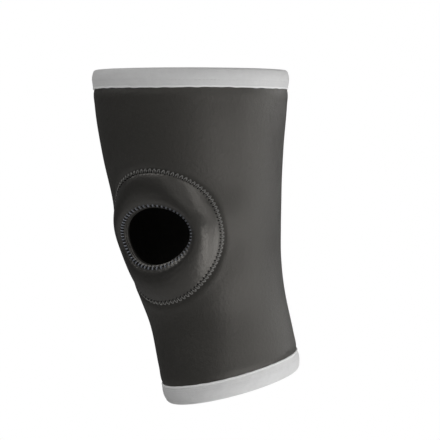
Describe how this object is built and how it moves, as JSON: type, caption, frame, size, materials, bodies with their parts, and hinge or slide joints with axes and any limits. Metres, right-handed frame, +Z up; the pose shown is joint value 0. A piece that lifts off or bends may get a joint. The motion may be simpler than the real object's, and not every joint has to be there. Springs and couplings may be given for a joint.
{
  "type": "knee sleeve",
  "caption": "Tubular knee sleeve, slightly bent as it is worn, with a padded ring round an open kneecap hole and a folded tape on each hem.",
  "frame": {"origin": "on the tube's axis, in the section through the middle of the kneecap opening: where the middle of the knee sits", "axes": "+Z up to the thigh end, -Y the front with the kneecap opening, +X the outer side of a left knee"},
  "size_m": [0.1529, 0.1676, 0.2598],
  "materials": {
    "neoprene_knit": "matte black nylon knit on neoprene",
    "hem_tape_knit": "matte light grey knitted tape",
    "pad_cover_knit": "smooth black knit over foam, slightly glossier than the sleeve"
  },
  "bodies": {
    "root": {"sleeve_body": "neoprene_knit", "top_hem_tape": "hem_tape_knit", "bottom_hem_tape": "hem_tape_knit", "kneecap_pad": "pad_cover_knit"}
  },
  "joints": []
}
